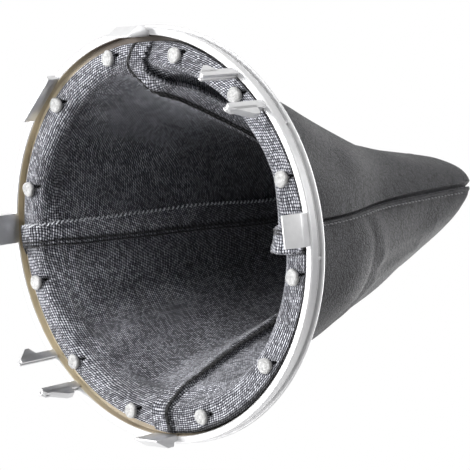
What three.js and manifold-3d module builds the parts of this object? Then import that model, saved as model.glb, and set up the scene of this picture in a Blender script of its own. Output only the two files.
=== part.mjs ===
// Gear lever gaiter: a round plated frame that snaps into a console, with a four-panel leatherette
// cover whose hem is pinned under the frame's ledge by twelve rivets.
// Millimetres, +Z up. The origin is the centre of the frame's seat, the plane that meets the console.
import * as THREE from 'three';
import { mergeVertices } from 'three/addons/utils/BufferGeometryUtils.js';
import Module from 'manifold-3d';

const wasm = await Module();
wasm.setup();

// Clearances
const seatGap = 0.3;
const cutMargin = 1;

// Frame ring: wall, shadow groove, top bead and the inner ledge that carries the hem
const ringBore = 110;
const wallThickness = 2.2;
const ringHeight = 5.2;
const grooveHeight = 3.1;
const grooveWidth = 0.8;
const grooveDepth = 0.9;
const beadOverhang = 0.6;
const edgeRound = 0.35;
const ledgeReach = 5.8;
const ledgeThickness = 1.6;
const ledgeChamfer = 0.3;
const footHeight = 0.9;
const footStep = 0.4;
const ringSegments = 96;
const grooveRibAngles = [8, 58, 95];
const grooveRibWidth = 0.8;

// Leatherette cover
const skin = 1.2;
const hemEdgeGap = 1.8;
const hemBend = 1.1;
const kneeHeight = 12;
const waistHeight = 42;
const neckHeight = 78;
const kneeTurn = -3.2;
const neckTurn = -6.4;
const endTurn = -8.2;
const seamLap = 6.5;
const hemSteps = 2;
const bendSteps = 3;
const coneSteps = 16;
const panelSteps = 10;
const lapSteps = 3;

// Each seam line runs from the frame to the narrow end: the cover's outer radius on it at three
// heights and at its end, and how far the panels beside it swell outwards there. Below zero they draw
// in to a ridge instead.
const seamLines = [
  { knee: 39.1, waist: 24.9, neck: 12, end: 13.7, endHeight: 115, swell: [16.6, 12.9, 11.2, -4.2] },
  { knee: 40.9, waist: 34.9, neck: 25.4, end: 19.7, endHeight: 121, swell: [3.3, 3.7, -1.5, -3.7] },
  { knee: 42, waist: 31.3, neck: 25, end: 16.8, endHeight: 110, swell: [4.7, 11.1, 5.9, -2.7] },
  { knee: 42.6, waist: 31.3, neck: 27, end: 20.5, endHeight: 115.5, swell: [4, 10, 6, -3] },
];
const panelNames = ['panel_front_left', 'panel_rear_left', 'panel_rear_right', 'panel_front_right'];

// Rivets
const rivetAngles = [15, 42, 72, 101, 131, 164, 195, 224, 254, 285, 317, 346];
const rivetCircle = 50.8;
const rivetHead = 4.4;
const rivetHeadHeight = 1.2;
const rivetShank = 2;

// Snap tabs at the seams, the wide tab and the two pairs of barbed hooks, all below the seat
const tabAngles = [0, 87, 180, 272];
const tabWidth = 8.6;
const tabLength = 8;
const tabThickness = 1.6;
const tabBarb = 1.4;
const tabBarbTop = 1.3;
const tabBarbBottom = 3.7;
const wideTabAngle = 315;
const wideTabWidth = 16.5;
const wideTabLength = 3.8;
const legInset = 0.4;
const hookSpread = 6.3;
const hookLength = 13.5;
const hookWidth = 2.3;
const hookDepth = 2;
const hookBarb = 1.9;
const tipBarb = { peak: 10, flat: 1.4, root: 6.8 };
const rootBarb = { peak: 5.6, flat: 2, root: 3.2 };
const hooks = [
  { angle: 45 - hookSpread, side: -1, barb: tipBarb },
  { angle: 45 + hookSpread, side: 1, barb: rootBarb },
  { angle: 225 - hookSpread, side: -1, barb: rootBarb },
  { angle: 225 + hookSpread, side: 1, barb: tipBarb },
];
const hookGroove = 0.9;
const hookGrooveDepth = 0.3;

// Worked-out places
const boreRadius = ringBore / 2;
const wallRadius = boreRadius + wallThickness;
const beadRadius = wallRadius + beadOverhang;
const ledgeRadius = boreRadius - ledgeReach;
const headTop = rivetHeadHeight - 0.7;
const hemMiddle = headTop + seatGap + skin / 2;
const ledgeBottom = hemMiddle + skin / 2 + seatGap;
const ledgeTop = ledgeBottom + ledgeThickness;
const hemEdge = boreRadius - hemEdgeGap;
const legRadius = boreRadius - legInset;
const seamCount = seamLines.length;
const seamStep = 360 / seamCount;
const radians = THREE.MathUtils.degToRad;

const chrome = new THREE.MeshStandardMaterial({ color: 0xd4d6d8, roughness: 0.15, metalness: 1 });
const nylon = new THREE.MeshStandardMaterial({ color: 0xececec, roughness: 0.5, metalness: 0 });
const leather = new THREE.MeshStandardMaterial({
  color: 0x46464a, roughness: 0.6, metalness: 0, side: THREE.DoubleSide,
});

// Positions only, with shared corners welded together
function welded(geometry) {
  const bare = geometry.clone();
  bare.deleteAttribute('normal');
  bare.deleteAttribute('uv');
  return mergeVertices(bare, 1e-4);
}

// A closed geometry as a solid that can be joined and cut
function solidOf(geometry) {
  const shell = welded(geometry);
  return new wasm.Manifold(new wasm.Mesh({
    numProp: 3,
    vertProperties: new Float32Array(shell.attributes.position.array),
    triVerts: new Uint32Array(shell.index.array),
  }));
}

// A solid back as a geometry with shaded faces
function geometryOf(solid) {
  const mesh = solid.getMesh();
  const geometry = new THREE.BufferGeometry();
  geometry.setAttribute('position', new THREE.BufferAttribute(new Float32Array(mesh.vertProperties), 3));
  geometry.setIndex(new THREE.BufferAttribute(new Uint32Array(mesh.triVerts), 1));
  geometry.computeVertexNormals();
  return geometry;
}

function namedMesh(name, geometry, material) {
  const mesh = new THREE.Mesh(geometry, material);
  mesh.name = name;
  return mesh;
}

// A closed section in radius and height, turned about the Z axis
function revolve(points, segments) {
  const outline = points.map(([radius, height]) => new THREE.Vector2(radius, height));
  outline.push(outline[0].clone());
  return new THREE.LatheGeometry(outline, segments).rotateX(Math.PI / 2);
}

// A section drawn in radius and height, given a width across its own radius, at an angle of the ring
function radialPlate(points, width, angle) {
  const shape = new THREE.Shape(points.map(([radius, height]) => new THREE.Vector2(radius, height)));
  return new THREE.ExtrudeGeometry(shape, { depth: width, bevelEnabled: false })
    .translate(0, 0, -width / 2)
    .rotateX(Math.PI / 2)
    .rotateZ(radians(angle));
}

// A section drawn across the radius and in height, given a depth along the radius
function tangentPlate(points, innerRadius, depth, angle) {
  const shape = new THREE.Shape(points.map(([across, height]) => new THREE.Vector2(across, height)));
  return new THREE.ExtrudeGeometry(shape, { depth, bevelEnabled: false })
    .rotateX(Math.PI / 2)
    .rotateZ(Math.PI / 2)
    .translate(innerRadius, 0, 0)
    .rotateZ(radians(angle));
}

// Frame ring section: seat, wall, groove, bead, and the ledge inside
function ringSection() {
  const grooveTop = grooveHeight + grooveWidth;
  return [
    [boreRadius + edgeRound, 0],
    [wallRadius - edgeRound, 0],
    [wallRadius, edgeRound],
    [wallRadius, footHeight],
    [wallRadius - footStep, footHeight],
    [wallRadius - footStep, grooveHeight],
    [wallRadius - grooveDepth, grooveHeight],
    [wallRadius - grooveDepth, grooveTop],
    [beadRadius - edgeRound, grooveTop],
    [beadRadius, grooveTop + edgeRound],
    [beadRadius - edgeRound, ringHeight - edgeRound],
    [wallRadius - edgeRound, ringHeight],
    [boreRadius, ringHeight],
    [boreRadius - edgeRound, ringHeight - edgeRound],
    [boreRadius - edgeRound, ledgeTop],
    [ledgeRadius, ledgeTop],
    [ledgeRadius, ledgeBottom + ledgeChamfer],
    [ledgeRadius + ledgeChamfer, ledgeBottom],
    [boreRadius, ledgeBottom],
    [boreRadius, edgeRound],
  ];
}

// Snap tab: a plate down from the wall with an outward barb and a tapered lead-in
function tabSection() {
  const outer = legRadius + tabThickness;
  return [
    [legRadius, edgeRound * 2],
    [legRadius, -tabLength],
    [legRadius + tabThickness / 3, -tabLength],
    [outer + tabBarb, -tabBarbBottom],
    [outer + tabBarb, -tabBarbTop],
    [outer, -tabBarbTop],
    [outer, edgeRound * 2],
  ];
}

function wideTabSection() {
  const outer = legRadius + tabThickness;
  return [
    [legRadius, edgeRound * 2],
    [legRadius, -wideTabLength],
    [outer - edgeRound, -wideTabLength],
    [outer, -wideTabLength + edgeRound * 2],
    [outer, edgeRound * 2],
  ];
}

// Barbed hook seen along the radius: side is +1 or -1 for the way its barb points
function hookSection(side, barb) {
  const half = hookWidth / 2;
  const peak = half + hookBarb;
  return [
    [-half, edgeRound * 2],
    [-half, -hookLength + edgeRound],
    [edgeRound - half, -hookLength],
    [0, -hookLength],
    [peak, -barb.peak],
    [peak, -barb.peak + barb.flat],
    [half, -barb.root],
    [half, edgeRound * 2],
  ].map(([across, height]) => [side * across, height]);
}

function hookSolid({ angle, side, barb }) {
  const arm = solidOf(orient(tangentPlate(hookSection(side, barb), legRadius, hookDepth, angle)));
  return [-1, 1].reduce((left, face) => left.subtract(solidOf(
    new THREE.BoxGeometry(hookGroove, hookGrooveDepth * 2, hookLength - 3 * edgeRound)
      .translate(legRadius + hookDepth / 2, (face * hookWidth) / 2, -hookLength / 2)
      .rotateZ(radians(angle)),
  )), arm);
}

// Turns the triangles of an inside-out geometry back, such as a mirrored plate's
function orient(geometry) {
  const shell = welded(geometry);
  const index = shell.index.array;
  const places = shell.attributes.position;
  const [a, b, c] = [new THREE.Vector3(), new THREE.Vector3(), new THREE.Vector3()];
  let volume = 0;
  for (let i = 0; i < index.length; i += 3) {
    a.fromBufferAttribute(places, index[i]);
    b.fromBufferAttribute(places, index[i + 1]);
    c.fromBufferAttribute(places, index[i + 2]);
    volume += a.dot(b.cross(c));
  }
  if (volume < 0) {
    for (let i = 0; i < index.length; i += 3) [index[i], index[i + 1]] = [index[i + 1], index[i]];
  }
  return shell;
}

function rivetHoles(diameter, bottom, top) {
  return rivetAngles.map((angle) => solidOf(
    new THREE.CylinderGeometry(diameter / 2, diameter / 2, top - bottom, 16)
      .rotateX(Math.PI / 2)
      .translate(rivetCircle, 0, (top + bottom) / 2)
      .rotateZ(radians(angle)),
  ));
}

function frameRing() {
  let ring = solidOf(orient(revolve(ringSection(), ringSegments)));
  for (const angle of tabAngles) {
    ring = ring.add(solidOf(orient(radialPlate(tabSection(), tabWidth, angle))));
  }
  ring = ring.add(solidOf(orient(radialPlate(wideTabSection(), wideTabWidth, wideTabAngle))));
  for (const hook of hooks) ring = ring.add(hookSolid(hook));
  for (const angle of grooveRibAngles) {
    ring = ring.add(solidOf(
      new THREE.BoxGeometry(grooveDepth * 1.5, grooveRibWidth, grooveWidth + edgeRound)
        .translate(wallRadius - grooveDepth * 0.85, 0, grooveHeight + grooveWidth / 2)
        .rotateZ(radians(angle)),
    ));
  }
  for (const hole of rivetHoles(rivetShank + 2 * seatGap, ledgeBottom - cutMargin, ledgeTop + cutMargin)) {
    ring = ring.subtract(hole);
  }
  return geometryOf(ring);
}

// Rivet: a low head with a dimple, and a shank up through the hem and the ledge
function rivet() {
  const headRadius = rivetHead / 2;
  const headBottom = headTop - rivetHeadHeight;
  return orient(revolve([
    [0, headBottom + 0.25],
    [0.5, headBottom],
    [headRadius - 0.6, headBottom],
    [headRadius, headBottom + 0.5],
    [headRadius, headTop - 0.2],
    [headRadius - 0.2, headTop],
    [rivetShank / 2, headTop],
    [rivetShank / 2, ledgeTop],
    [0, ledgeTop],
  ], 16));
}

// Value across a panel between two seams: a cubic whose inner handles are swollen beside each seam
function acrossPanel(share, start, startSwell, end, endSwell) {
  const rest = 1 - share;
  return start * rest ** 3 + 3 * (start + startSwell) * rest * rest * share
    + 3 * (end + endSwell) * rest * share * share + end * share ** 3;
}

// Cover middle line: flat hem under the ledge, a tight bend inside the ledge's edge, then the cone
const bendStart = ledgeRadius - seatGap - skin / 2 + hemBend;

function hemPoint(step) {
  return new THREE.Vector3(THREE.MathUtils.lerp(hemEdge, bendStart, step / hemSteps), kneeTurn, hemMiddle);
}

// The bend turns the skin from flat to the slope of the cone at that angle
function bendPoint(step, kneeRadius) {
  const slope = Math.atan2(bendStart - hemBend - kneeRadius, kneeHeight - hemMiddle - hemBend);
  const turned = (step / bendSteps) * (Math.PI / 2 - slope);
  const radius = bendStart - hemBend * Math.sin(turned);
  return new THREE.Vector3(radius, kneeTurn, hemMiddle + hemBend * (1 - Math.cos(turned)));
}

// The two seams beside an angle, and its share of the way between them
function panelAt(angle) {
  const wrapped = THREE.MathUtils.euclideanModulo(angle, 360);
  const first = Math.min(Math.floor(wrapped / seamStep), seamCount - 1);
  return {
    from: seamLines[first],
    to: seamLines[(first + 1) % seamCount],
    share: wrapped / seamStep - first,
  };
}

// Radius of the skin's middle at an angle, at a level of the seam lines
function coneRadius(angle, key, level) {
  const { from, to, share } = panelAt(angle);
  return acrossPanel(share, from[key], from.swell[level], to[key], to.swell[level]) - skin / 2;
}

// The cone's line at one angle; each point holds radius, turn and height
function coneLine(angle) {
  const { from, to, share } = panelAt(angle);
  const endHeight = THREE.MathUtils.lerp(from.endHeight, to.endHeight, share);
  const kneeRadius = coneRadius(angle, 'knee', 0);
  return new THREE.CatmullRomCurve3([
    bendPoint(bendSteps, kneeRadius),
    new THREE.Vector3(kneeRadius, kneeTurn, kneeHeight),
    new THREE.Vector3(coneRadius(angle, 'waist', 1), kneeTurn, waistHeight),
    new THREE.Vector3(coneRadius(angle, 'neck', 2), neckTurn, neckHeight),
    new THREE.Vector3(coneRadius(angle, 'end', 3), endTurn, endHeight),
  ], false, 'catmullrom', 0.5);
}

const bendEnd = hemSteps + bendSteps;
const lastRow = bendEnd + coneSteps;

function coverPoint(angle, row) {
  let point;
  if (row < hemSteps) point = hemPoint(row);
  else if (row < bendEnd) point = bendPoint(row - hemSteps, coneRadius(angle, 'knee', 0));
  else point = coneLine(angle).getPoint((row - bendEnd) / coneSteps);
  const place = radians(angle + point.y);
  return new THREE.Vector3(point.x * Math.cos(place), point.x * Math.sin(place), point.z);
}

// Outward direction of the skin at a place, from its neighbours
function coverNormal(angle, row) {
  const nudge = 0.5;
  const around = coverPoint(angle + nudge, row).sub(coverPoint(angle - nudge, row));
  const lower = Math.max(row - 1, 0);
  const upper = Math.min(row + 1, lastRow);
  const along = coverPoint(angle, upper).sub(coverPoint(angle, lower));
  return around.cross(along).normalize();
}

// Angle that a length along the skin takes at a row
function lapAngle(length, angle, row) {
  const point = coverPoint(angle, row);
  return THREE.MathUtils.radToDeg(length / Math.hypot(point.x, point.y));
}

// The columns of a panel at one row: from its edge at one seam, across, and on under the next panel.
// Both panels of a seam have columns at the same places of the lap.
function panelColumns(index, row) {
  const start = index * seamStep;
  const end = start + seamStep;
  const columns = [{ angle: start + lapAngle(seatGap, start, row), sink: 0 }];
  for (let step = 1; step <= lapSteps; step += 1) {
    columns.push({ angle: start + lapAngle((seamLap * step) / lapSteps, start, row), sink: 0 });
  }
  const lapEnd = start + lapAngle(seamLap, start, row);
  const fold = end - lapAngle(skin, end, row);
  for (let step = 1; step <= panelSteps; step += 1) {
    columns.push({ angle: THREE.MathUtils.lerp(lapEnd, fold, step / panelSteps), sink: 0 });
  }
  for (let step = 0; step <= lapSteps; step += 1) {
    columns.push({ angle: end + lapAngle((seamLap * step) / lapSteps, end, row), sink: skin + seatGap });
  }
  return columns;
}

// A sheet of the skin's thickness as one closed shell
function sheetGeometry(index) {
  const rows = Array.from({ length: lastRow + 1 }, (_, row) => panelColumns(index, row).map(({ angle, sink }) => {
    const normal = coverNormal(angle, row);
    const middle = coverPoint(angle, row).addScaledVector(normal, -sink);
    return [
      middle.clone().addScaledVector(normal, skin / 2),
      middle.clone().addScaledVector(normal, -skin / 2),
    ];
  }));
  const width = rows[0].length;
  const positions = [];
  for (const row of rows) {
    for (const pair of row) for (const point of pair) positions.push(...point.toArray());
  }
  const corner = (row, column, side) => (row * width + column) * 2 + side;
  const faces = [];
  const quad = (a, b, c, d) => faces.push(a, b, c, a, c, d);
  for (let row = 0; row + 1 < rows.length; row += 1) {
    for (let column = 0; column + 1 < width; column += 1) {
      quad(corner(row, column, 0), corner(row, column + 1, 0),
        corner(row + 1, column + 1, 0), corner(row + 1, column, 0));
      quad(corner(row, column, 1), corner(row + 1, column, 1),
        corner(row + 1, column + 1, 1), corner(row, column + 1, 1));
    }
    const last = width - 1;
    quad(corner(row, 0, 0), corner(row + 1, 0, 0), corner(row + 1, 0, 1), corner(row, 0, 1));
    quad(corner(row, last, 0), corner(row, last, 1), corner(row + 1, last, 1), corner(row + 1, last, 0));
  }
  const top = rows.length - 1;
  for (let column = 0; column + 1 < width; column += 1) {
    quad(corner(0, column, 0), corner(0, column, 1), corner(0, column + 1, 1), corner(0, column + 1, 0));
    quad(corner(top, column, 0), corner(top, column + 1, 0), corner(top, column + 1, 1), corner(top, column, 1));
  }
  const geometry = new THREE.BufferGeometry();
  geometry.setAttribute('position', new THREE.Float32BufferAttribute(positions, 3));
  geometry.setIndex(faces);
  return geometry;
}

function coverPanel(index) {
  let panel = solidOf(orient(sheetGeometry(index)));
  for (const hole of rivetHoles(rivetShank + 2 * seatGap, headTop, ledgeBottom)) panel = panel.subtract(hole);
  return geometryOf(panel);
}

const group = new THREE.Group();
group.name = 'gear_lever_gaiter';
group.add(namedMesh('frame_ring', frameRing(), chrome));
panelNames.forEach((name, index) => group.add(namedMesh(name, coverPanel(index), leather)));
const rivetGeometry = rivet();
rivetAngles.forEach((angle, index) => {
  const mesh = namedMesh(`rivet_${String(index + 1).padStart(2, '0')}`, rivetGeometry, nylon);
  mesh.position.set(rivetCircle * Math.cos(radians(angle)), rivetCircle * Math.sin(radians(angle)), 0);
  group.add(mesh);
});

export default group;
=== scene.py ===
# Gear lever gaiter: a satin-plated snap-in frame, a leatherette cover of four sewn panels with a
# knitted backing, and the twelve melted plastic heads that pin its hem under the frame's ledge.
# Metres, in the part's own frame: +Z toward the cover's narrow end.
import math
import bmesh
import bpy
import numpy as np
from mathutils import Matrix, Vector


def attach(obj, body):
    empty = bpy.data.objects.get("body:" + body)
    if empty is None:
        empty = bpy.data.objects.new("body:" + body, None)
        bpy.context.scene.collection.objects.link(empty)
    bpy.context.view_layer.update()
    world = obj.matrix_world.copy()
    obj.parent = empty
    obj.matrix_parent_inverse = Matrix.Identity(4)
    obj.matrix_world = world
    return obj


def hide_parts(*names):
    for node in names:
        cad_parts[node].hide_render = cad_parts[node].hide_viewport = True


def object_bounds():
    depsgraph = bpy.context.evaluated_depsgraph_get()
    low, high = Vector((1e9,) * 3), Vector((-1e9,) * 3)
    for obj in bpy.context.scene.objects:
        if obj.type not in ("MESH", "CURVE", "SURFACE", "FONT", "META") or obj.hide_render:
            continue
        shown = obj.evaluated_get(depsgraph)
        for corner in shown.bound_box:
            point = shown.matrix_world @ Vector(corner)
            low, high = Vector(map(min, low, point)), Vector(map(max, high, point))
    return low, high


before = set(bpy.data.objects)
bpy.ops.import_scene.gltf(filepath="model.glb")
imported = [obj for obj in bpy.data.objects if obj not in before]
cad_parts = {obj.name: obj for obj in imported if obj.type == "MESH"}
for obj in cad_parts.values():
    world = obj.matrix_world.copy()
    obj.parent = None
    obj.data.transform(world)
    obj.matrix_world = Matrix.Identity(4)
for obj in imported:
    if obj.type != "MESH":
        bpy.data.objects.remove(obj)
cad_box = [[float(v) for v in corner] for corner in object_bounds()]
scene = bpy.context.scene
MM = 0.001

# Camera
# It looks up into the cover from below the frame, with the part's front at the top of the picture.
right = Vector((-0.0662, 0.7370, 0.6726))
down = Vector((-0.9935, 0.0144, -0.1134))
ahead = Vector((-0.0933, -0.6757, 0.7312))
camera = bpy.data.objects.new("camera", bpy.data.cameras.new("camera"))
camera.matrix_world = Matrix((
    (right.x, -down.x, -ahead.x, 0.0501),
    (right.y, -down.y, -ahead.y, 0.3862),
    (right.z, -down.z, -ahead.z, -0.3845),
    (0, 0, 0, 1),
))
# A focal length of 2000 pixels at the picture's width of 470, which the fit of the camera is for
camera.data.sensor_width = 36
camera.data.lens = 153.2
camera.data.clip_start = 0.01
scene.collection.objects.link(camera)
scene.camera = camera
scene.view_settings.view_transform = "Standard"


# Node helpers
# A material starts with its shader, and each helper adds one node and joins it up.
def new_material(name, roughness, metallic=0.0):
    made = bpy.data.materials.new(name)
    made.use_nodes = True
    shader = made.node_tree.nodes["Principled BSDF"]
    shader.inputs["Roughness"].default_value = roughness
    shader.inputs["Metallic"].default_value = metallic
    return made, made.node_tree, shader


def add_node(tree, kind, inputs=(), **settings):
    made = tree.nodes.new(kind)
    for key, value in settings.items():
        setattr(made, key, value)
    for key, value in dict(inputs).items():
        if isinstance(value, bpy.types.NodeSocket):
            tree.links.new(value, made.inputs[key])
        else:
            made.inputs[key].default_value = value
    return made


def ramp(tree, factor, stops):
    made = add_node(tree, "ShaderNodeValToRGB", {"Fac": factor})
    while len(made.color_ramp.elements) < len(stops):
        made.color_ramp.elements.new(0.5)
    for element, (place, colour) in zip(made.color_ramp.elements, stops):
        element.position = place
        element.color = colour if len(colour) == 4 else (*colour, 1)
    return made.outputs["Color"]


def object_coords(tree):
    return add_node(tree, "ShaderNodeTexCoord").outputs["Object"]


def noise(tree, vector, scale, detail, **settings):
    """A noise texture; capitalised settings go to its sockets, the others to the node."""
    inputs = {"Vector": vector, "Scale": scale, "Detail": detail}
    inputs.update({key: value for key, value in settings.items() if key[0].isupper()})
    rest = {key: value for key, value in settings.items() if key[0].islower()}
    return add_node(tree, "ShaderNodeTexNoise", inputs, **rest)


def cell_edges(tree, vector, scale):
    """Distance to the nearest edge between the cells of a Voronoi texture."""
    made = add_node(tree, "ShaderNodeTexVoronoi", {"Vector": vector, "Scale": scale},
                    feature="DISTANCE_TO_EDGE")
    return made.outputs["Distance"]


def vector_math(tree, operation, first, second):
    return add_node(tree, "ShaderNodeVectorMath", {0: first, 1: second}, operation=operation).outputs[0]


def times_shade(tree, colour):
    """A colour darkened by the mesh's own shade attribute, which carries painted shade and light."""
    shade = add_node(tree, "ShaderNodeAttribute", attribute_name="shade").outputs["Fac"]
    return mix_colour(tree, 1.0, colour, shade, "MULTIPLY")


def math_node(tree, operation, first, second=0.0, clamp=False):
    made = add_node(tree, "ShaderNodeMath", {0: first, 1: second}, operation=operation)
    made.use_clamp = clamp
    return made.outputs[0]


def mix_colour(tree, factor, first, second, blend="MIX"):
    made = add_node(tree, "ShaderNodeMix", data_type="RGBA", blend_type=blend)
    for socket, value in ((made.inputs[0], factor), (made.inputs[6], first), (made.inputs[7], second)):
        if isinstance(value, bpy.types.NodeSocket):
            tree.links.new(value, socket)
        else:
            socket.default_value = value
    return made.outputs[2]


def bump(tree, height, distance, strength=1.0, under=None):
    inputs = {"Height": height, "Distance": distance, "Strength": strength}
    if under is not None:
        inputs["Normal"] = under
    return add_node(tree, "ShaderNodeBump", inputs).outputs["Normal"]


def new_piece(name, mesh, materials, nodes=()):
    made = bpy.data.objects.new(name, mesh)
    scene.collection.objects.link(made)
    for item in materials:
        mesh.materials.append(item)
    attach(made, "root")
    if nodes:
        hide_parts(*nodes)
    return made


def smooth_faces(mesh):
    mesh.polygons.foreach_set("use_smooth", np.ones(len(mesh.polygons), bool))


def finished(name, shape, sharp_from):
    """Turns a bmesh into a smooth mesh, its faces outwards and its edges sharp from an angle in degrees."""
    bmesh.ops.recalc_face_normals(shape, faces=shape.faces)
    mesh = bpy.data.meshes.new(name)
    shape.to_mesh(mesh)
    shape.free()
    smooth_faces(mesh)
    mesh.set_sharp_from_angle(angle=math.radians(sharp_from))
    return mesh


def smooth_step(low, high, value):
    share = np.clip((value - low) / (high - low), 0, 1)
    return share * share * (3 - 2 * share)


# Cover surface
# Middle line of the skin, in millimetres: a flat hem, a tight bend, then the cone up to the end.
SKIN = 1.2
SEAT_GAP = 0.3
HEM_EDGE, HEM_Z, BEND_START, BEND = 53.2, 1.4, 49.4, 2.6
NEAR_HEM_REACH = 1.4
SEAM_LAP = 6.5
HEM_ROWS, BEND_ROWS, CONE_ROWS = 2, 3, 16
BEND_END = HEM_ROWS + BEND_ROWS
LAST_ROW = BEND_END + CONE_ROWS
ROW_LENGTH = 7.2
SEAMS = (
    ((39.1, 24.9, 12.0, 13.7), 115.0, (16.6, 12.9, 11.2, -4.2)),
    ((40.9, 34.9, 25.4, 19.7), 121.0, (3.3, 3.7, -1.5, -3.7)),
    ((42.0, 31.3, 25.0, 16.8), 110.0, (4.7, 11.1, 5.9, -2.7)),
    ((42.6, 31.3, 27.0, 20.5), 115.5, (4.0, 10.0, 6.0, -3.0)),
)
LEVELS = (12.0, 42.0, 78.0)
TURNS = (-3.2, -3.2, -6.4, -8.2)
PANELS = ("panel_front_left", "panel_rear_left", "panel_rear_right", "panel_front_right")
RIVETS = (15, 42, 72, 101, 131, 164, 195, 224, 254, 285, 317, 346)
RIVET_CIRCLE = 50.8


def cover_point(angle, row):
    """The skin's middle at angles in degrees and rows counted from the hem up."""
    angle, row = np.broadcast_arrays(np.asarray(angle, float), np.asarray(row, float))
    wrapped = np.mod(angle, 360)
    first = np.minimum((wrapped // 90).astype(int), 3)
    share = wrapped / 90 - first
    rest = 1 - share
    following = (first + 1) % 4
    radii = np.array([seam[0] for seam in SEAMS])
    ends = np.array([seam[1] for seam in SEAMS])
    swells = np.array([seam[2] for seam in SEAMS])
    knots = []
    for level in range(4):
        a, b = radii[first, level], radii[following, level]
        swell_a, swell_b = swells[first, level], swells[following, level]
        radius = (a * rest ** 3 + 3 * (a + swell_a) * rest * rest * share
                  + 3 * (b + swell_b) * rest * share * share + b * share ** 3) - SKIN / 2
        height = ends[first] * rest + ends[following] * share
        if level < 3:
            height = np.full(angle.shape, LEVELS[level])
        knots.append(np.stack([radius, np.full(angle.shape, TURNS[level]), height], -1))
    slope = np.arctan2(BEND_START - BEND - knots[0][..., 0], LEVELS[0] - HEM_Z - BEND)

    def bend_point(turned):
        return (BEND_START - BEND * np.sin(turned), HEM_Z + BEND * (1 - np.cos(turned)))

    radius, height = bend_point(np.pi / 2 - slope)
    knots.insert(0, np.stack([radius, np.full(angle.shape, TURNS[0]), height], -1))
    knots = np.stack([2 * knots[0] - knots[1], *knots, 2 * knots[-1] - knots[-2]])
    place = np.clip((row - BEND_END) / CONE_ROWS, 0, 1) * 4
    span = np.minimum(place.astype(int), 3)
    t = (place - span)[..., None]
    index = np.indices(angle.shape)
    p0, p1, p2, p3 = (knots[(span + k, *index)] for k in range(4))
    line = 0.5 * (2 * p1 + (p2 - p0) * t + (2 * p0 - 5 * p1 + 4 * p2 - p3) * t ** 2
                  + (3 * p1 - p0 - 3 * p2 + p3) * t ** 3)
    radius, height = bend_point(np.clip((row - HEM_ROWS) / BEND_ROWS, 0, 1) * (np.pi / 2 - slope))
    # The hem reaches almost to the wall on the near side, and falls short of it on the far one
    place = np.mod(angle + TURNS[0], 360)
    edge = HEM_EDGE + NEAR_HEM_REACH * smooth_step(0, 20, place) * (1 - smooth_step(172, 192, place))
    radius = np.where(row < HEM_ROWS, edge + (BEND_START - edge) * row / HEM_ROWS, radius)
    radius = np.where(row < BEND_END, radius, line[..., 0])
    height = np.where(row < BEND_END, height, line[..., 2])
    turn = np.where(row < BEND_END, TURNS[0], line[..., 1])
    place = np.radians(angle + turn)
    return np.stack([radius * np.cos(place), radius * np.sin(place), height], -1)


def cover_normal(angle, row):
    around = cover_point(angle + 0.5, row) - cover_point(angle - 0.5, row)
    above, below = np.minimum(row + 0.25, LAST_ROW), np.maximum(row - 0.25, 0)
    along = cover_point(angle, above) - cover_point(angle, below)
    made = np.cross(around, along)
    return made / np.linalg.norm(made, axis=-1, keepdims=True)


def degree_length(angle, row):
    """Millimetres along the skin for one degree about the axis."""
    here = cover_point(angle, row)
    return np.radians(np.hypot(here[..., 0], here[..., 1]))


# Folds
# Soft folds and creases: lines of angle and row, a half width and a depth in millimetres, outwards
# where above zero. Slow waves lie over them, and both fade out at the frame and at the end.
FOLDS = (
    (((311.5, 6.5), (300, 10.3), (283.5, 12.6)), 6.0, 1.9),
    (((340, 6.5), (326, 9.5), (313, 13.0)), 5.0, -1.4),
    (((236, 8.0), (246, 12.0), (252, 15.0)), 6.0, 1.2),
    (((222, 6.8), (228, 10.0)), 6.0, -1.0),
    (((205, 9.0), (203, 13.0), (200, 16.0)), 5.0, 1.5),
    (((165, 7.0), (170, 12.0)), 5.0, -1.1),
    (((94.5, 14.2), (106.5, 14.6), (122.5, 14.5), (133, 14.3), (138, 13.4), (146, 12.6)), 1.6, -0.3),
    (((97, 14.8), (106.5, 15.3), (122.5, 15.2), (134, 14.9), (141, 13.9)), 2.4, 0.25),
    (((118, 15.4), (121, 19.5)), 2.4, 0.5),
    (((131, 15.2), (133, 18.5)), 2.2, 0.45),
    (((60, 9.0), (66, 13.0)), 6.0, -0.6),
    (((28, 13.0), (40, 16.0)), 4.0, -0.7),
)
# Each wave: cycles round the cover, climb in radians for one row, depth and phase
WAVES = ((3, 0.5, 0.30, 0.4), (5, -0.7, 0.26, 2.1), (8, 0.9, 0.18, 4.0),
         (11, -1.3, 0.12, 1.1), (2, 1.9, 0.12, 3.0))


def fold_depth(angle, row):
    made = np.zeros(angle.shape)
    for cycles, climb, depth, phase in WAVES:
        made += depth * np.sin(cycles * np.radians(angle) + climb * row + phase)
    per_degree = degree_length(angle, row)
    for line, width, depth in FOLDS:
        nearest = np.full(angle.shape, 1e9)
        for (a0, r0), (a1, r1) in zip(line, line[1:]):
            x = (np.mod(angle - a0 + 180, 360) - 180) * per_degree
            y = (row - r0) * ROW_LENGTH
            dx, dy = (a1 - a0) * per_degree, (r1 - r0) * ROW_LENGTH
            t = np.clip((x * dx + y * dy) / (dx * dx + dy * dy), 0, 1)
            nearest = np.minimum(nearest, (x - t * dx) ** 2 + (y - t * dy) ** 2)
        made += depth * np.exp(-nearest / width ** 2)
    return made * smooth_step(6.3, 8.5, row) * (1 - 0.7 * smooth_step(18.5, LAST_ROW, row))


# The seams wander a little from their straight places: rows and how many degrees the skin slides there
SLIDES = (
    ((0, 1, 3, 6, 7.6, 10.6, 12.5, LAST_ROW), (2.5, 0, -2.5, -4, -1.5, 2, 3, 0)),
    ((0, LAST_ROW), (0, 0)),
    ((0, 2, 7, 9.3, 10.5, 12.5, LAST_ROW), (0, 1.5, 0.5, -1, -1.5, -3, 0)),
    ((0, 7.4, 9.9, 12, 17, LAST_ROW), (-1, -1, -2, -3, -3.5, 0)),
)


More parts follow.
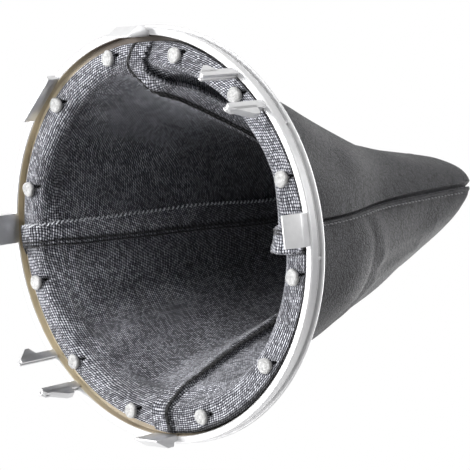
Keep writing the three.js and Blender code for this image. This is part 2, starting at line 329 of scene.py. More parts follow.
def slide(angle, row):
    fine = np.linspace(-3, LAST_ROW + 3, 541)
    kernel = np.exp(-(np.linspace(-1.5, 1.5, 31) / 0.8) ** 2)
    made = np.zeros(angle.shape)
    for number, (places, shifts) in enumerate(SLIDES):
        smoothed = np.convolve(np.interp(fine, places, shifts), kernel / kernel.sum(), "same")
        away = np.mod(angle - number * 90 + 180, 360) - 180
        made += np.interp(row, fine, smoothed) * np.exp(-(away / 30) ** 2)
    return made


def dome(distance, reach):
    """Rounds a cut edge: 0 at the edge, 1 from the reach on."""
    return np.sqrt(np.clip(1 - (1 - np.clip(distance / reach, 0, 1)) ** 2, 0.03, 1))


# Panels
# One value for each panel: how far its lap stands in, the groove of its seam (painted shade, half width
# and how far its two lines of stitches are apart), and how its corners are rounded at the cut end.
LAP_LIFT = (0.5, 0.1, 0.35, 1.0)
SEAM_SHADE = (0.35, 0.02, 0.03, 0.02)
SEAM_WIDTH = (0.4, 0.5, 0.38, 0.5)
STITCH_APART = (0.9, 0.5, 1.1, 0.55)
CORNER_PULL = (0.7, 0.9, 0.9, 0.9)
START_ROUND = (1.0, 1.6, 1.0, 1.0)
END_ROUND = (2.2, 1.4, 1.4, 1.4)
# Distances from a seam: its stitches inside and outside, and the lap's raw edge
STITCH_LINE, TOP_STITCH_LINE, LAP_EDGE = 0.1, 1.55, 6.55
# How far the skin swells above its hem, the depth of a seam's groove and of a slit, and a slit's
# place beside its rivet
FULLNESS, GROOVE_DEPTH, SLIT_DEPTH = 0.7, 0.3, 0.95
SLIT_SHIFT = np.array([0.7, 2.45])
turned = np.radians(RIVETS)
slits = RIVET_CIRCLE * np.stack([np.cos(turned), np.sin(turned)], -1) + SLIT_SHIFT


def panel_skin(number, angle, row):
    """One panel's skin: its middle, its outward direction, how far its outer and inner faces stand
    from the middle, its painted shade, and the distances from its first seam and past its last one."""
    from_start = (angle - number * 90) * degree_length(np.full(row.shape, number * 90.0), row)
    past_end = (angle - number * 90 - 90) * degree_length(np.full(row.shape, number * 90.0 + 90), row)
    cone = smooth_step(BEND_END, BEND_END + 1.5, row)
    corner = np.minimum(from_start / START_ROUND[number], -past_end / END_ROUND[number])
    pull = CORNER_PULL[number] * (1 - dome(np.clip(corner, 0.02, 1), 1.0))
    row = row - pull / ROW_LENGTH * smooth_step(LAST_ROW - 1.5, LAST_ROW, row)
    angle = angle + slide(angle, row)
    point, normal = cover_point(angle, row), cover_normal(angle, row)
    # The cut end rises a little beside the near seam
    point[..., 2] += 1.3 * np.exp(-((angle - 78) / 14) ** 2) * smooth_step(LAST_ROW - 3, LAST_ROW, row)
    shift = fold_depth(angle, row) + FULLNESS * smooth_step(7, 10, row)
    # The skin dips into its seams and under the stitches, and puckers a little beside them
    shift += cone * (-0.35 * np.exp(-(np.maximum(from_start - 0.3, 0) / 0.5) ** 2)
                     - 0.18 * np.exp(-((from_start - TOP_STITCH_LINE) / 0.45) ** 2)
                     + 0.16 * np.exp(-((from_start - 3.6) / 1.3) ** 2))
    pucker = 0.5 * np.sin(row * ROW_LENGTH / 1.15 + number) + 0.5 * np.sin(row * ROW_LENGTH / 0.74)
    beside = np.exp(-(from_start / 4) ** 2) + np.exp(-(np.minimum(past_end, 0) / 4) ** 2)
    shift += 0.1 * cone * pucker * beside
    shift -= (SKIN + SEAT_GAP) * smooth_step(-0.8, -0.05, past_end)
    shift -= LAP_LIFT[number] * smooth_step(1.5, SEAM_LAP, past_end) * smooth_step(3, 8, row)
    half = SKIN / 2 * dome(from_start - 0.25, 0.5) * dome(LAP_EDGE - past_end, 0.5)
    inner = half.copy()
    if number == 0:
        # The near lap is puffed out over the hem
        puffed = 1.3 * smooth_step(70, 86, angle) + 0.8 * smooth_step(91, 97, angle)
        puffed *= smooth_step(0.4, 2.5, row) * (1 - smooth_step(7.5, 10, row))
        inner += puffed * dome(LAP_EDGE - past_end, 0.8)
    # The seam's stitches pull a groove into the inner face, and painted shade darkens the groove
    beyond = past_end - STITCH_LINE
    groove = sum(np.exp(-((beyond - apart) / SEAM_WIDTH[number]) ** 2) for apart in (0, STITCH_APART[number]))
    groove = np.minimum(groove, 1)
    inner -= GROOVE_DEPTH * groove * half / (SKIN / 2)
    shade = 1 - (1 - SEAM_SHADE[number]) * groove
    # On the near side the hem's edge lies in the shadow of the wall, deepest at the rear
    wrapped = np.mod(angle, 360)
    near = 0.9 * smooth_step(3, 14, np.mod(angle + TURNS[0], 360)) * (1 - smooth_step(176, 186, wrapped))
    strip = 0.14 + 0.26 * np.exp(-((wrapped - 152) / 24) ** 2)
    shade *= 1 - 0.96 * near * (1 - smooth_step(strip, 1.9 * strip, row))
    # Beside each rivet the punched slit is a short hollow, darkened with painted shade
    flat = cover_point(angle, np.minimum(row, BEND_END))
    for x, y in slits:
        u, v = flat[..., 0] - x, flat[..., 1] - y
        long, wide = (0.97 * v + 0.26 * u) / 1.15, (0.97 * u - 0.26 * v) / 0.5
        hollow = np.exp(-(long ** 2 + wide ** 2) ** 2)
        hollow *= 1 - smooth_step(BEND_END + 0.4, BEND_END + 1.2, row)
        inner -= SLIT_DEPTH * hollow * half / (SKIN / 2)
        shade *= 1 - 0.97 * hollow
    return point + normal * shift[..., None], normal, half, inner, shade, from_start, past_end


# Leatherette
# Charcoal skin with a fine pebble grain, darker in the pores and a little polished on the swells.
leather, tree, shader = new_material("leatherette_charcoal", 0.6)
coords = object_coords(tree)
warp = noise(tree, coords, 260.0, 2.0).outputs["Color"]
warp = vector_math(tree, "MULTIPLY", warp, (0.0016, 0.0016, 0.0016))
warped = vector_math(tree, "ADD", coords, warp)
grain = cell_edges(tree, warped, 1050.0)
veins = cell_edges(tree, warped, 330.0)
pores = noise(tree, coords, 1400.0, 3.0)
cloud = noise(tree, coords, 40.0, 3.0)
tone = ramp(tree, cloud.outputs[0], [(0.3, (0.032, 0.032, 0.036)), (0.7, (0.046, 0.046, 0.051))])
crease = ramp(tree, grain, [(0.0, (0.35, 0.35, 0.35)), (0.14, (1, 1, 1))])
vein = ramp(tree, veins, [(0.0, (0.4, 0.4, 0.4)), (0.05, (1, 1, 1))])
tone = mix_colour(tree, 1.0, tone, crease, "MULTIPLY")
tone = mix_colour(tree, 1.0, tone, vein, "MULTIPLY")
tree.links.new(times_shade(tree, tone), shader.inputs["Base Color"])
rough = ramp(tree, pores.outputs[0], [(0.3, (0.52, 0.52, 0.52)), (0.7, (0.68, 0.68, 0.68))])
tree.links.new(rough, shader.inputs["Roughness"])
shader.inputs["Specular IOR Level"].default_value = 0.3
low = bump(tree, pores.outputs[0], 0.00008, 0.5)
low = bump(tree, ramp(tree, veins, [(0.0, (0, 0, 0)), (0.08, (1, 1, 1))]), 0.00008, 0.7, low)
edge = ramp(tree, grain, [(0.0, (0, 0, 0)), (0.25, (1, 1, 1))])
tree.links.new(bump(tree, edge, 0.00008, 0.8, low), shader.inputs["Normal"])

# Knitted backing
# Grey melange knit: offset rows of small slanted loops, light and dark yarns on a dark ground.
LOOP_WIDTH, LOOP_HEIGHT, LOOP_SLANT, LOOP_FILL = 0.86, 0.6, 0.5, 0.42
knit, tree, shader = new_material("knitted_backing", 0.95)
uv = add_node(tree, "ShaderNodeUVMap", uv_map="UVMap").outputs["UV"]
# The rows run in slow bends and tremble a little, in millimetres of the panel's own UV
wobble = noise(tree, uv, 0.12, 1.0, noise_dimensions="2D").outputs["Color"]
shake = noise(tree, uv, 1.1, 1.0, noise_dimensions="2D").outputs["Color"]
shake = vector_math(tree, "MULTIPLY", shake, (0.2, 0.16, 0))
bent = vector_math(tree, "ADD", vector_math(tree, "ADD", uv, wobble), shake)
split = add_node(tree, "ShaderNodeSeparateXYZ", {0: bent})
course = math_node(tree, "DIVIDE", split.outputs[1], LOOP_HEIGHT)
course_number = math_node(tree, "FLOOR", course)
offset = math_node(tree, "MULTIPLY", math_node(tree, "PINGPONG", course_number, 1.0), 0.5)
wale = math_node(tree, "ADD", math_node(tree, "DIVIDE", split.outputs[0], LOOP_WIDTH), offset)
wale_number = math_node(tree, "FLOOR", wale)
up = math_node(tree, "SUBTRACT", math_node(tree, "FRACT", course), 0.5)
over = math_node(tree, "SUBTRACT", math_node(tree, "FRACT", wale), 0.5)
over = math_node(tree, "ADD", over, math_node(tree, "MULTIPLY", up, LOOP_SLANT))
across = math_node(tree, "DIVIDE", math_node(tree, "ABSOLUTE", over), 0.5)
along = math_node(tree, "DIVIDE", math_node(tree, "ABSOLUTE", up), LOOP_FILL)
loop = math_node(tree, "ADD", math_node(tree, "POWER", across, 2.0), math_node(tree, "POWER", along, 2.0))
loop = math_node(tree, "SUBTRACT", 1.0, loop, clamp=True)
cell = add_node(tree, "ShaderNodeCombineXYZ", {0: wale_number, 1: course_number}).outputs[0]
yarn = add_node(tree, "ShaderNodeTexWhiteNoise", {"Vector": cell}, noise_dimensions="2D")
yarn = yarn.outputs["Value"]
fuzz = noise(tree, uv, 4.0, 4.0, Roughness=0.7, noise_dimensions="2D").outputs[0]
patchy = noise(tree, uv, 0.12, 2.0, noise_dimensions="2D").outputs[0]
speck = math_node(tree, "MULTIPLY", yarn, 0.4)
speck = math_node(tree, "ADD", speck, math_node(tree, "MULTIPLY", fuzz, 0.6))
melange = ramp(tree, speck, [(0.2, (0.10, 0.102, 0.115)), (0.42, (0.33, 0.335, 0.37)),
                             (0.58, (0.62, 0.63, 0.68)), (0.75, (0.76, 0.77, 0.82))])
ground = ramp(tree, loop, [(0.0, (0.05, 0.05, 0.06)), (0.25, (0.4, 0.4, 0.41)), (0.6, (1, 1, 1))])
tone = mix_colour(tree, 1.0, melange, ground, "MULTIPLY")
worn = ramp(tree, patchy, [(0.3, (0.72, 0.72, 0.72)), (0.7, (1, 1, 1))])
tone = mix_colour(tree, 1.0, tone, worn, "MULTIPLY")
tree.links.new(times_shade(tree, tone), shader.inputs["Base Color"])
shader.inputs["Sheen Weight"].default_value = 0.1
shader.inputs["Specular IOR Level"].default_value = 0.15
fine = bump(tree, fuzz, 0.0002, 0.5)
tree.links.new(bump(tree, loop, 0.00025, 0.9, fine), shader.inputs["Normal"])

# Cover panels
# Each is one skin: its start lies over the last one's lap, and its own lap runs on under the next.
# Flat cuts, in metres: width with the lap, length from hem edge to end, and area.
FLAT_CUT = {
    "panel_front_left": (0.0903, 0.1293, 0.00731),
    "panel_rear_left": (0.0929, 0.1256, 0.00752),
    "panel_rear_right": (0.0899, 0.1218, 0.00766),
    "panel_front_right": (0.0936, 0.1266, 0.00808),
}
# Degrees that the columns fixed to its seams take up at each side of a panel, at the hem
SIDE_BAND = 7.3
rows = np.concatenate([np.linspace(0, HEM_ROWS, 21)[:-1], np.linspace(HEM_ROWS, BEND_END, 13)[:-1],
                       np.linspace(BEND_END, LAST_ROW - 0.3, 190),
                       [LAST_ROW - 0.12, LAST_ROW - 0.03, LAST_ROW]])
rim = np.minimum(np.minimum(rows / 0.12, 1), dome(LAST_ROW - rows, 0.12))
for number, name in enumerate(PANELS):
    start, end = number * 90.0, number * 90.0 + 90.0
    reach = {seam: 1 / degree_length(np.full(rows.shape, seam), rows)[:, None] for seam in (start, end)}
    # Columns at fixed distances from the two seams, in millimetres, and the rest spread between them
    edge_in = start + reach[start] * [0.3, 0.36, 0.55, 0.9, 1.25, 1.55, 1.9, 2.4, 3.2, 4.2, 5.4, 6.5]
    fold = end - reach[end] * [6.5, 5.5, 4.6, 3.7, 2.8, 2.0, 1.6]
    # Columns stand closer together beside the rivets
    shares = np.linspace(0, 1, 1001)
    crowd = np.ones(1001)
    for rivet_angle in RIVETS[number * 3:number * 3 + 3]:
        hem_place = (rivet_angle - TURNS[0] - start - SIDE_BAND) / (90 - 2 * SIDE_BAND)
        crowd += 1.6 * np.exp(-((shares - hem_place) / 0.05) ** 2)
    crowd = np.cumsum(crowd)
    spread = np.interp(np.linspace(crowd[0], crowd[-1], 122), crowd, shares)[None, 1:-1]
    middle = edge_in[:, -1:] + (fold[:, :1] - edge_in[:, -1:]) * spread
    step = end + reach[end] * [-1.1, -0.8, -0.6, -0.4, -0.2, 0, 0.25, 0.5]
    under = end + reach[end] * [0.75, 1.0, 1.35, 1.8, 2.6, 3.6, 4.6, 5.5, 6.1, 6.4, SEAM_LAP]
    angle = np.concatenate([edge_in, middle, fold, step, under], 1)
    row = np.repeat(rows[:, None], angle.shape[1], 1)
    point, normal, out, inward, shade, from_start, past_end = panel_skin(number, angle, row)
    outer = point + normal * (out * rim[:, None])[..., None]
    inner = point - normal * (inward * rim[:, None])[..., None]
    count, width = angle.shape
    steps = np.linalg.norm(np.diff(point, axis=1), axis=2)
    u = np.concatenate([np.zeros((count, 1)), np.cumsum(steps, 1)], 1)
    u = u - u[:, width // 2:width // 2 + 1]
    climb = np.linalg.norm(np.diff(point[:, width // 2], axis=0), axis=1)
    v = np.repeat(np.concatenate([[0], np.cumsum(climb)])[:, None], width, 1)
    vertices = np.concatenate([outer.reshape(-1, 3), inner.reshape(-1, 3)]) * MM
    place = np.arange(count * width).reshape(count, width)
    a, b, c, d = place[:-1, :-1], place[:-1, 1:], place[1:, 1:], place[1:, :-1]
    other = count * width
    faces = [np.stack([a, b, c, d], -1).reshape(-1, 4)]
    faces.append(np.stack([d, c, b, a], -1).reshape(-1, 4) + other)
    border = np.concatenate([place[0, :], place[1:, -1], place[-1, -2::-1], place[-2:0:-1, 0]])
    following = np.roll(border, -1)
    faces.append(np.stack([following, border, border + other, following + other], -1))
    kinds = np.concatenate([np.zeros(len(faces[0]), int), np.ones(len(faces[1]) + len(faces[2]), int)])
    beyond = ((past_end[:-1, :-1] > 0.2) | (row[:-1, :-1] < 0.05)).reshape(-1)
    kinds[:len(faces[0])][beyond] = 1
    faces = np.concatenate(faces)
    mesh = bpy.data.meshes.new(name + "_cloth")
    mesh.from_pydata(vertices.tolist(), [], faces.tolist())
    smooth_faces(mesh)
    layer = mesh.uv_layers.new(name="UVMap")
    loop_vertex = np.zeros(len(mesh.loops), int)
    mesh.loops.foreach_get("vertex_index", loop_vertex)
    flat = np.stack([np.concatenate([u.ravel()] * 2), np.concatenate([v.ravel()] * 2)], -1)[loop_vertex]
    layer.data.foreach_set("uv", flat.ravel())
    # Painted shade: the knit is darker far up the cover, least of all at the rear
    rear = np.exp(-((np.mod(angle, 360) - 178) / 32) ** 2)
    painted_light_and_shade = 1 - 0.5 * smooth_step(20, 66, point[..., 2]) * (1 - rear)
    # Painted light: near the hem of the far side the knit is lighter
    pale = np.exp(-((np.mod(angle, 360) - 262) / 45) ** 2) * smooth_step(3, 6, row)
    painted_light_and_shade += 0.32 * pale * (1 - smooth_step(14, 30, point[..., 2]))
    # The leather is a little darker near the ring
    outside = np.maximum(shade, 0.6) * (0.84 + 0.16 * smooth_step(12, 50, point[..., 2]))
    tint = mesh.attributes.new("shade", "FLOAT", "POINT")
    tint.data.foreach_set("value", np.concatenate([outside.ravel(), (shade * painted_light_and_shade).ravel()]))
    new_piece(name + "_cloth", mesh, (leather, knit), (name,))
    mesh.polygons.foreach_set("material_index", kinds)
    mesh.update()


def new_thread(name, colour):
    made, tree, shader = new_material(name, 0.8)
    twist = noise(tree, object_coords(tree), 1800.0, 2.0)
    dark = tuple(0.5 * part for part in colour)
    tone = ramp(tree, twist.outputs[0], [(0.35, dark), (0.65, colour)])
    tree.links.new(tone, shader.inputs["Base Color"])
    tree.links.new(bump(tree, twist.outputs[0], 0.0001, 0.8), shader.inputs["Normal"])
    shader.inputs["Sheen Weight"].default_value = 0.2
    return made


top_thread = new_thread("thread_grey", (0.24, 0.24, 0.25))
seam_thread = new_thread("thread_black", (0.012, 0.012, 0.014))
edge_thread = new_thread("thread_light", (0.85, 0.87, 0.92))
dull_thread = new_thread("thread_dull", (0.2, 0.2, 0.22))


def threads(name, paths, radius, material, sides=6):
    """One piece of many short threads; each path is its points in millimetres."""
    vertices, faces = [], []
    for path in paths:
        along = np.gradient(path, axis=0)
        along /= np.linalg.norm(along, axis=1, keepdims=True)
        side = np.cross(along, (0.36, 0.48, 0.8))
        side /= np.linalg.norm(side, axis=1, keepdims=True)
        up = np.cross(side, along)
        order = np.arange(len(path))
        taper = radius * np.minimum(1, 0.35 + 0.9 * np.minimum(order, order[::-1]))
        around = np.arange(sides) * 2 * np.pi / sides
        ring = (path[:, None] + taper[:, None, None] * (side[:, None] * np.cos(around)[None, :, None]
                                                        + up[:, None] * np.sin(around)[None, :, None]))
        base = len(vertices)
        vertices.extend((ring.reshape(-1, 3) * MM).tolist())
        for k in range(len(path) - 1):
            for s in range(sides):
                s2 = (s + 1) % sides
                low, high = base + k * sides, base + (k + 1) * sides
                faces.append((low + s, low + s2, high + s2, high + s))
        faces.append(tuple(base + s for s in range(sides))[::-1])
        faces.append(tuple(base + (len(path) - 1) * sides + s for s in range(sides)))
    mesh = bpy.data.meshes.new(name)
    mesh.from_pydata(vertices, [], faces)
    shape = bmesh.new()
    shape.from_mesh(mesh)
    bmesh.ops.recalc_face_normals(shape, faces=shape.faces)
    shape.to_mesh(mesh)
    shape.free()
    smooth_faces(mesh)
    return new_piece(name, mesh, (material,))


def stitch_rows(seam, first, last, pitch, share, count):
    """Rows of equal stitches along a seam, one line for each stitch."""
    fine = np.linspace(first, last, 900)
    line = cover_point(np.full(fine.shape, seam), fine)
    length = np.concatenate([[0], np.cumsum(np.linalg.norm(np.diff(line, axis=0), axis=1))])
    starts = np.arange(0.3, length[-1] - pitch, pitch)
    return np.interp(starts[:, None] + np.linspace(0, share * pitch, count), length, fine)


def on_face(number, seam, distance, row, lift, face):
    """Points over a panel's outer or inner face, at distances from a seam and heights over the face."""
    angle = seam + distance / degree_length(np.full(row.shape, seam), row)
    point, normal, out, inward = panel_skin(number, angle, row)[:4]
    height = out + lift if face > 0 else -(inward + lift)
    return point + normal * height[..., None]


# Seams
# A grey top stitch outside, a double black stitch at the root of each lap, and an overlocked edge,
# pale at the far seam. Each stitch sinks into the skin at both ends.
SINK = np.array([-0.3, 0.1, 0.16, 0.1, -0.3])
LOOSE_END = np.array([(-2.6, -51.9, 0.6), (-3.4, -52.2, -0.2), (-4.4, -52.0, -0.5),
                      (-5.3, -51.3, -0.6), (-6.2, -51.5, -0.5)])
for number, name in enumerate(PANELS):
    start, end = number * 90.0, number * 90.0 + 90.0
    seam_name = name.replace("panel_", "")
    row = stitch_rows(start, BEND_END + 0.4, LAST_ROW - 0.25, 2.1, 0.74, 5)
    slant = TOP_STITCH_LINE + 0.1 * np.linspace(-1, 1, 5) + np.zeros(row.shape)
    paths = on_face(number, start, slant, row, SINK + 0.05, 1)
    top = threads(f"top_stitch_{seam_name}", paths, 0.25, top_thread)
    row = stitch_rows(end, 0.15, LAST_ROW - 0.4, 2.3, 0.86, 5)
    paths = [*on_face(number, end, STITCH_LINE + np.zeros(row.shape), row, SINK, -1),
             *on_face(number, end, STITCH_LINE + STITCH_APART[number] + np.zeros(row.shape), row, SINK, -1)]
    if number == 2:
        paths.append(LOOSE_END)
    black = threads(f"seam_stitch_{seam_name}", paths, 0.27, seam_thread)
    row = stitch_rows(end, 0.2, LAST_ROW - 0.4, 1.5, 1.1, 5)
    reachout = np.array([5.75, 5.9, 6.2, 6.5, 6.7]) + np.zeros(row.shape)
    paths = on_face(number, end, reachout, row, np.array([-0.2, 0.12, 0.16, 0.08, -0.35]), -1)
    radius, thread = (0.22, edge_thread) if number == 2 else (0.15, dull_thread)
    light = threads(f"overlock_{seam_name}", paths, radius, thread)
    width, length, area = FLAT_CUT[name]

# Frame finish
# Satin plate: bright, with faint moulding waviness and fine handling marks.
PLATED, BUFF = 0.85, (0.62, 0.54, 0.39)
plate, tree, shader = new_material("satin_plate", 0.36, PLATED)
coords = object_coords(tree)
waves = noise(tree, coords, 60.0, 2.0)
marks = noise(tree, coords, 700.0, 5.0, Roughness=0.7)
tone = ramp(tree, marks.outputs[0], [(0.3, (0.71, 0.71, 0.715)), (0.7, (0.77, 0.77, 0.775))])
# The wall inside the ring is bare, with the tan plastic showing, and painted shade darkens it at front, rear
# and near side
BARE_RADIUS, BARE_LOW, BARE_HIGH = 0.05512, 0.00012, 0.0027
axes = add_node(tree, "ShaderNodeSeparateXYZ", {0: coords})
flat_place = add_node(tree, "ShaderNodeCombineXYZ", {0: axes.outputs[0], 1: axes.outputs[1]}).outputs[0]
radius = add_node(tree, "ShaderNodeVectorMath", {0: flat_place}, operation="LENGTH").outputs["Value"]
inside = math_node(tree, "LESS_THAN", radius, BARE_RADIUS)
raised = math_node(tree, "GREATER_THAN", axes.outputs[2], BARE_LOW)
lower = math_node(tree, "LESS_THAN", axes.outputs[2], BARE_HIGH)
bare = math_node(tree, "MULTIPLY", math_node(tree, "MULTIPLY", inside, raised), lower)
# Painted shade on the bare wall: dark towards front and rear, and on the near side
across = math_node(tree, "ADD", math_node(tree, "MULTIPLY", axes.outputs[0], 8.0), 0.5)
buff_and_painted_shade = ramp(tree, across, [(0.08, (0.3, 0.25, 0.18)), (0.16, BUFF), (0.82, BUFF), (0.92, (0.07, 0.05, 0.035))])
side = math_node(tree, "ADD", math_node(tree, "MULTIPLY", axes.outputs[1], 8.0), 0.5)
side = ramp(tree, side, [(0.5, (1, 1, 1)), (0.62, (0.1, 0.1, 0.1))])
buff_and_painted_shade = mix_colour(tree, 1.0, buff_and_painted_shade, side, "MULTIPLY")
tone = mix_colour(tree, bare, tone, buff_and_painted_shade)
# Painted shade: the bottom of the groove under the bead is dark and not metallic
painted_groove_shade = 1.0
for value, middle, width in ((axes.outputs[2], 0.0035, 0.00014), (radius, 0.0564, 0.00036)):
    found = math_node(tree, "COMPARE", value, middle)
    found.node.inputs[2].default_value = width
    painted_groove_shade = math_node(tree, "MULTIPLY", painted_groove_shade, found)
tree.links.new(mix_colour(tree, painted_groove_shade, tone, (0.03, 0.03, 0.03, 1)), shader.inputs["Base Color"])
bare_or_painted_shade = math_node(tree, "MAXIMUM", bare, painted_groove_shade)
plated = math_node(tree, "MULTIPLY", math_node(tree, "SUBTRACT", 1.0, bare_or_painted_shade), PLATED)
tree.links.new(plated, shader.inputs["Metallic"])
rough = ramp(tree, marks.outputs[0], [(0.35, (0.33, 0.33, 0.33)), (0.7, (0.42, 0.42, 0.42))])
tree.links.new(mix_colour(tree, bare, rough, (0.6, 0.6, 0.6, 1)), shader.inputs["Roughness"])
tree.links.new(bump(tree, waves.outputs[0], 0.0006, 0.15), shader.inputs["Normal"])


def rounded(points, radius, steps=4):
    """A closed outline with its corners rounded, and a held point beside each to keep faces flat."""
    made = []
    count = len(points)
    for number, corner in enumerate(points):
        corner = np.array(corner, float)
        before = np.array(points[number - 1], float) - corner
        after = np.array(points[(number + 1) % count], float) - corner
        reach_a, reach_b = np.linalg.norm(before), np.linalg.norm(after)
        before, after = before / reach_a, after / reach_b
        half = math.acos(max(-1.0, min(1.0, float(before @ after)))) / 2
        cut = min(radius / math.tan(half), 0.42 * min(reach_a, reach_b))
        first, last = corner + before * cut, corner + after * cut
        made.append(first + before * min(0.03, 0.05 * reach_a))
        for step in range(steps + 1):
            t = step / steps
            made.append(first * (1 - t) ** 2 + corner * 2 * t * (1 - t) + last * t * t)
        made.append(last + after * min(0.03, 0.05 * reach_b))
    return np.array(made)


def lathe(mesh, outline, segments):
    """Adds a closed outline in radius and height, turned about Z, to a bmesh."""
    loops = []
    for number in range(segments):
        turned = 2 * math.pi * number / segments
        loops.append([mesh.verts.new((r * math.cos(turned) * MM, r * math.sin(turned) * MM, z * MM))
                      for r, z in outline])
    for number in range(segments):
        here, there = loops[number], loops[(number + 1) % segments]
        for k in range(len(outline)):
            k2 = (k + 1) % len(outline)
            mesh.faces.new((here[k], there[k], there[k2], here[k2]))


def prism(mesh, outline, low, high, place, edge):
    """Adds an outline in two directions, drawn out between two depths and given softened edges.
    place turns the outline's two values and the depth into a point in millimetres."""
    ends = [[mesh.verts.new(Vector(place(a, b, depth)) * MM) for a, b in outline]
            for depth in (low, high)]
    faces = [mesh.faces.new(ends[0][::-1]), mesh.faces.new(ends[1])]
    for k in range(len(outline)):
        k2 = (k + 1) % len(outline)
        faces.append(mesh.faces.new((ends[0][k], ends[0][k2], ends[1][k2], ends[1][k])))
    edges = list(dict.fromkeys(e for face in faces for e in face.edges))
    bmesh.ops.bevel(mesh, geom=edges, offset=edge * MM, segments=2, profile=0.6, affect="EDGES")


def radial(angle):
    turned = math.radians(angle)
    return lambda r, z, w: (r * math.cos(turned) - w * math.sin(turned),
                            r * math.sin(turned) + w * math.cos(turned), z)


def tangential(angle):
    turned = math.radians(angle)
    return lambda w, z, r: (r * math.cos(turned) - w * math.sin(turned),
                            r * math.sin(turned) + w * math.cos(turned), z)


# Frame ring
# One moulding: foot, wall, shadow groove, bead and ledge, with its tabs and barbed hooks below.
SECTION = [(55.0, 0.35), (55.35, 0), (56.85, 0), (57.2, 0.35), (57.2, 0.9), (56.8, 0.9), (56.8, 3.1),
           (56.3, 3.1), (56.3, 3.9), (57.45, 3.9), (57.8, 4.25), (57.45, 4.85), (56.85, 5.2),
           (55.0, 5.2), (54.65, 4.85), (54.65, 3.9), (49.2, 3.9), (49.2, 2.6), (49.5, 2.3), (55.0, 2.3)]
TAB = [(54.6, 0.6), (54.6, -8), (55.13, -8), (57.6, -3.7), (57.6, -1.3), (56.2, -1.3), (56.2, 0.6)]
WIDE_TAB = [(54.6, 0.6), (54.6, -3.8), (55.85, -3.8), (56.2, -3.1), (56.2, 0.6)]
RIB = [(56.0, 3.0), (56.85, 3.0), (56.85, 4.0), (56.0, 4.0)]
TAB_ANGLES, WIDE_TAB_ANGLE, RIB_ANGLES = (0, 87, 180, 272), 315, (8, 58, 95)
# Each hook: its place, the side its barb points to, the barb's peak, its flat and its root
HOOKS = ((38.7, -1, 10, 1.4, 6.8), (51.3, 1, 5.6, 2, 3.2),
         (218.7, -1, 5.6, 2, 3.2), (231.3, 1, 10, 1.4, 6.8))
shape = bmesh.new()
lathe(shape, rounded(SECTION, 0.22), 360)
for angle in TAB_ANGLES:
    prism(shape, TAB, -4.3, 4.3, radial(angle), 0.14)
prism(shape, WIDE_TAB, -8.25, 8.25, radial(WIDE_TAB_ANGLE), 0.14)
for angle, side, peak, flat, root in HOOKS:
    arm = [(-1.15, 0.6), (-1.15, -13.1), (-0.8, -13.5), (0, -13.5), (1.15, -12.2), (1.15, 0.6)]
    core = [(-0.85, 0.6), (-0.85, -13.0), (0, -13.3), (0.85, -12.6), (0.85, 0.6)]
    barb = [(0.2, -13.3), (3.05, -peak), (3.05, flat - peak), (1.0, -root), (0.2, -root)]
    # The arm is three layers deep, so that both side faces have a groove down the middle
    for low, high, outline in ((54.6, 55.15, arm), (55.0, 56.2, core), (56.05, 56.6, arm)):
        prism(shape, [(side * w, z) for w, z in outline], low, high, tangential(angle), 0.1)
    prism(shape, [(side * w, z) for w, z in barb], 54.6, 56.6, tangential(angle), 0.1)
for angle in RIB_ANGLES:
    prism(shape, RIB, -0.4, 0.4, radial(angle), 0.05)
mesh = finished("ring_plated", shape, 35)
new_piece("ring_plated", mesh, (plate,), ("frame_ring",))

# Rivet heads
HEAD_SIDES = 48
HEAD_PROFILE = ((0.05, -0.66), (0.4, -0.66), (0.8, -0.68), (1.15, -0.7), (1.3, -0.6), (1.45, -0.6),
                (1.6, -0.7), (1.9, -0.6), (2.12, -0.36), (2.2, -0.05), (2.16, 0.28), (2.02, 0.45),
                (1.8, 0.5), (1.0, 0.5), (1.0, 3.8), (0.05, 3.85))
nylon, tree, shader = new_material("white_plastic_melted", 0.6)
swirl = noise(tree, object_coords(tree), 900.0, 3.0, Distortion=1.5)
tone = ramp(tree, swirl.outputs[0], [(0.35, (0.27, 0.27, 0.265)), (0.65, (0.46, 0.46, 0.46))])
tree.links.new(tone, shader.inputs["Base Color"])
shader.inputs["Subsurface Weight"].default_value = 0.1
shader.inputs["Subsurface Radius"].default_value = (0.002, 0.002, 0.002)
tree.links.new(bump(tree, swirl.outputs[0], 0.0002, 0.6), shader.inputs["Normal"])
for number, turned in enumerate(np.radians(RIVETS)):
    # Each head was melted over by hand, so its rim wavers, its face leans and its dimple is off centre
    seed = np.random.default_rng(100 + number)
    phases = seed.uniform(0, 2 * np.pi, 4)
    lean = seed.uniform(-0.07, 0.07, 2)
    dimple = seed.uniform(-0.35, 0.35, 2)
    around = np.arange(HEAD_SIDES) / HEAD_SIDES * 2 * np.pi
    waver = 1 + 0.035 * np.sin(2 * around + phases[0]) + 0.03 * np.sin(3 * around + phases[1])
    waver += 0.018 * np.sin(7 * around + phases[2]) + 0.01 * np.sin(11 * around + phases[3])
    points = []
    for radius, height in HEAD_PROFILE:
        wide = radius * np.where(radius > 1.1, waver, 1)
        x, y = wide * np.cos(around), wide * np.sin(around)
        z = np.full(HEAD_SIDES, height)
        if height < 0.3:
            z = z + lean[0] * x + lean[1] * y
            z = z + 0.22 * np.exp(-((x - dimple[0]) ** 2 + (y - dimple[1]) ** 2) / 0.25)
            z = z - 0.06 * np.sin(4 * around + phases[1]) * (radius / 2.2) ** 2
        points.append(np.stack([x, y, z], -1))
    points = np.array(points)
    points[..., 0] += RIVET_CIRCLE * math.cos(turned)
    points[..., 1] += RIVET_CIRCLE * math.sin(turned)
    shape = bmesh.new()
    loops = [[shape.verts.new(Vector(p) * MM) for p in ring_points] for ring_points in points]
    for here, there in zip(loops, loops[1:]):
        for k in range(HEAD_SIDES):
            k2 = (k + 1) % HEAD_SIDES
            shape.faces.new((here[k], here[k2], there[k2], there[k]))
    shape.faces.new(loops[0])
    shape.faces.new(loops[-1][::-1])
    mesh = finished(f"rivet_head_{number + 1:02d}", shape, 50)
    new_piece(mesh.name, mesh, (nylon,), (f"rivet_{number + 1:02d}",))

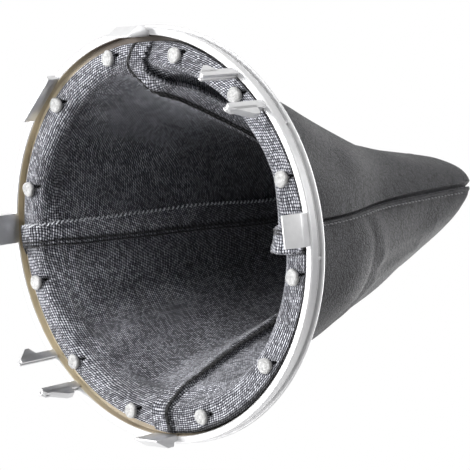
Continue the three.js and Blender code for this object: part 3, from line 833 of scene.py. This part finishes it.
# Floor and backdrop
# A pale floor just under the lowest hooks; from below it is clear, so the underside shows.
paper = bpy.data.materials.new("pale_floor")
paper.use_nodes = True
tree = paper.node_tree
tree.nodes.clear()
matte = add_node(tree, "ShaderNodeBsdfDiffuse", {"Color": (0.93, 0.93, 0.93, 1)})
clear = add_node(tree, "ShaderNodeBsdfTransparent")
below = add_node(tree, "ShaderNodeNewGeometry").outputs["Backfacing"]
sheet = add_node(tree, "ShaderNodeMixShader", {0: below, 1: matte.outputs[0], 2: clear.outputs[0]})
add_node(tree, "ShaderNodeOutputMaterial", {"Surface": sheet.outputs[0]})
mesh = bpy.data.meshes.new("floor")
mesh.from_pydata([(-2, -2, 0), (2, -2, 0), (2, 2, 0), (-2, 2, 0)], [], [(0, 1, 2, 3)])
mesh.materials.append(paper)
floor = bpy.data.objects.new("floor", mesh)
floor.location.z = cad_box[0][2] - 0.0005
floor.visible_shadow = False
scene.collection.objects.link(floor)

world = bpy.data.worlds.new("studio")
scene.world = world
world.use_nodes = True
tree = world.node_tree
tree.nodes.clear()
ray = add_node(tree, "ShaderNodeLightPath")
seen = math_node(tree, "MAXIMUM", ray.outputs["Is Camera Ray"], ray.outputs["Is Glossy Ray"])
seen = math_node(tree, "MAXIMUM", seen, ray.outputs["Is Transmission Ray"])
# What the plate mirrors is darker on the near side
direction = add_node(tree, "ShaderNodeTexCoord").outputs["Generated"]
toward = add_node(tree, "ShaderNodeVectorMath", {0: direction, 1: (0.0, 0.9, 0.44)},
                  operation="DOT_PRODUCT")
mirrored = ramp(tree, toward.outputs["Value"], [(0.45, (0.93, 0.93, 0.93)), (0.85, (0.4, 0.4, 0.41))])
mirrored = mix_colour(tree, ray.outputs["Is Camera Ray"], mirrored, (1, 1, 1, 1))
soft = add_node(tree, "ShaderNodeBackground", {"Color": (1, 1, 1, 1), "Strength": 0.21})
bright = add_node(tree, "ShaderNodeBackground", {"Color": mirrored, "Strength": 1.0})
both = add_node(tree, "ShaderNodeMixShader", {0: seen, 1: soft.outputs[0], 2: bright.outputs[0]})
add_node(tree, "ShaderNodeOutputWorld", {"Surface": both.outputs[0]})

# Lamps
# A key from the picture's left that looks up into the cover, two fills, and two weak lamps for the
# outside. Each has a name, a place, a size and a power in watts.
centre = Vector((0, 0, 0.04))
lamps = (
    ("key", Vector((0.2, -0.47, -0.86)), 0.5, 17.0),
    ("fill", Vector((0.8, -0.12, -0.5)), 0.45, 6.5),
    ("low", Vector((-0.7, -0.5, -0.5)), 0.4, 6.0),
    ("side", Vector((0.3, 0.85, 0.35)), 0.6, 3.5),
    ("top", Vector((-0.1, -0.2, 0.9)), 0.6, 4.0),
)
for name, place, size, watts in lamps:
    lamp = bpy.data.objects.new(name, bpy.data.lights.new(name, "AREA"))
    lamp.data.size = size
    lamp.data.energy = watts
    lamp.location = place
    lamp.rotation_euler = (centre - place).to_track_quat("-Z", "Y").to_euler()
    scene.collection.objects.link(lamp)
